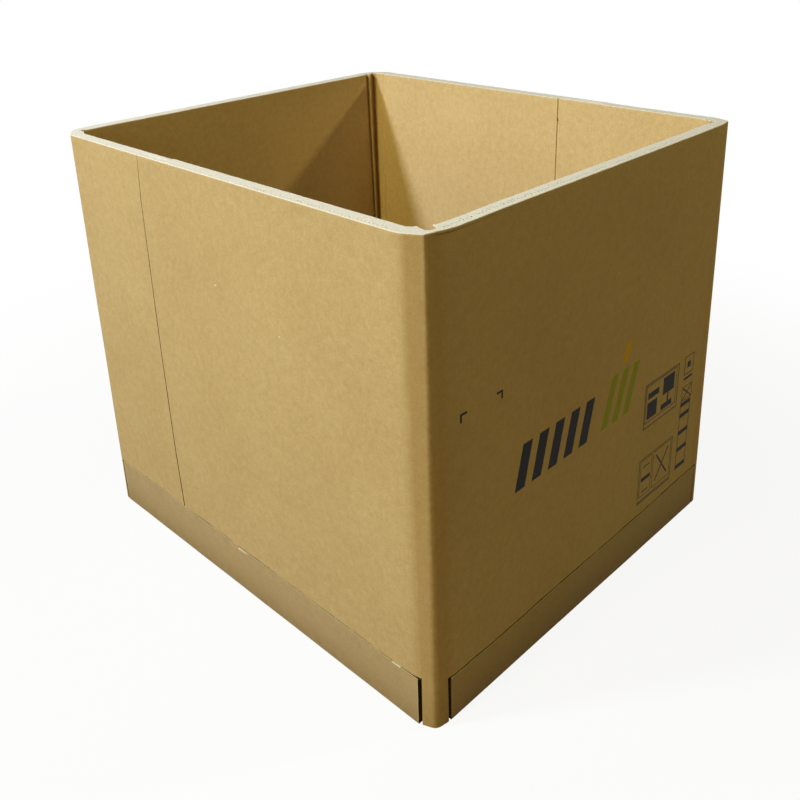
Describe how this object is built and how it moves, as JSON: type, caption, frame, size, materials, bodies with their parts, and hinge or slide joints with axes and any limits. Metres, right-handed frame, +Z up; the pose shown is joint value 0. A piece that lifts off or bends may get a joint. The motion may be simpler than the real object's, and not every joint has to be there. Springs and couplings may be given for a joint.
{
  "type": "heavy-duty corrugated pallet box",
  "caption": "Open-topped heavy-duty pallet box: a double-thickness corrugated board sleeve in wrapped halves, standing in a bottom tray with flush upturned flaps.",
  "frame": {"origin": "on the floor, below the middle of the box", "axes": "+Z up, +Y along the longer walls, -Y is the printed front wall, -X is the long wall with the outer seam near its rear corner"},
  "size_m": [0.99, 1.12, 0.97],
  "materials": {
    "kraft_board": "matte brown kraft liner",
    "tray_board": "matte greyer kraft liner"
  },
  "bodies": {
    "root": {"sleeve_half_front": "kraft_board", "sleeve_half_rear": "kraft_board", "bottom_tray": "tray_board"}
  },
  "joints": []
}
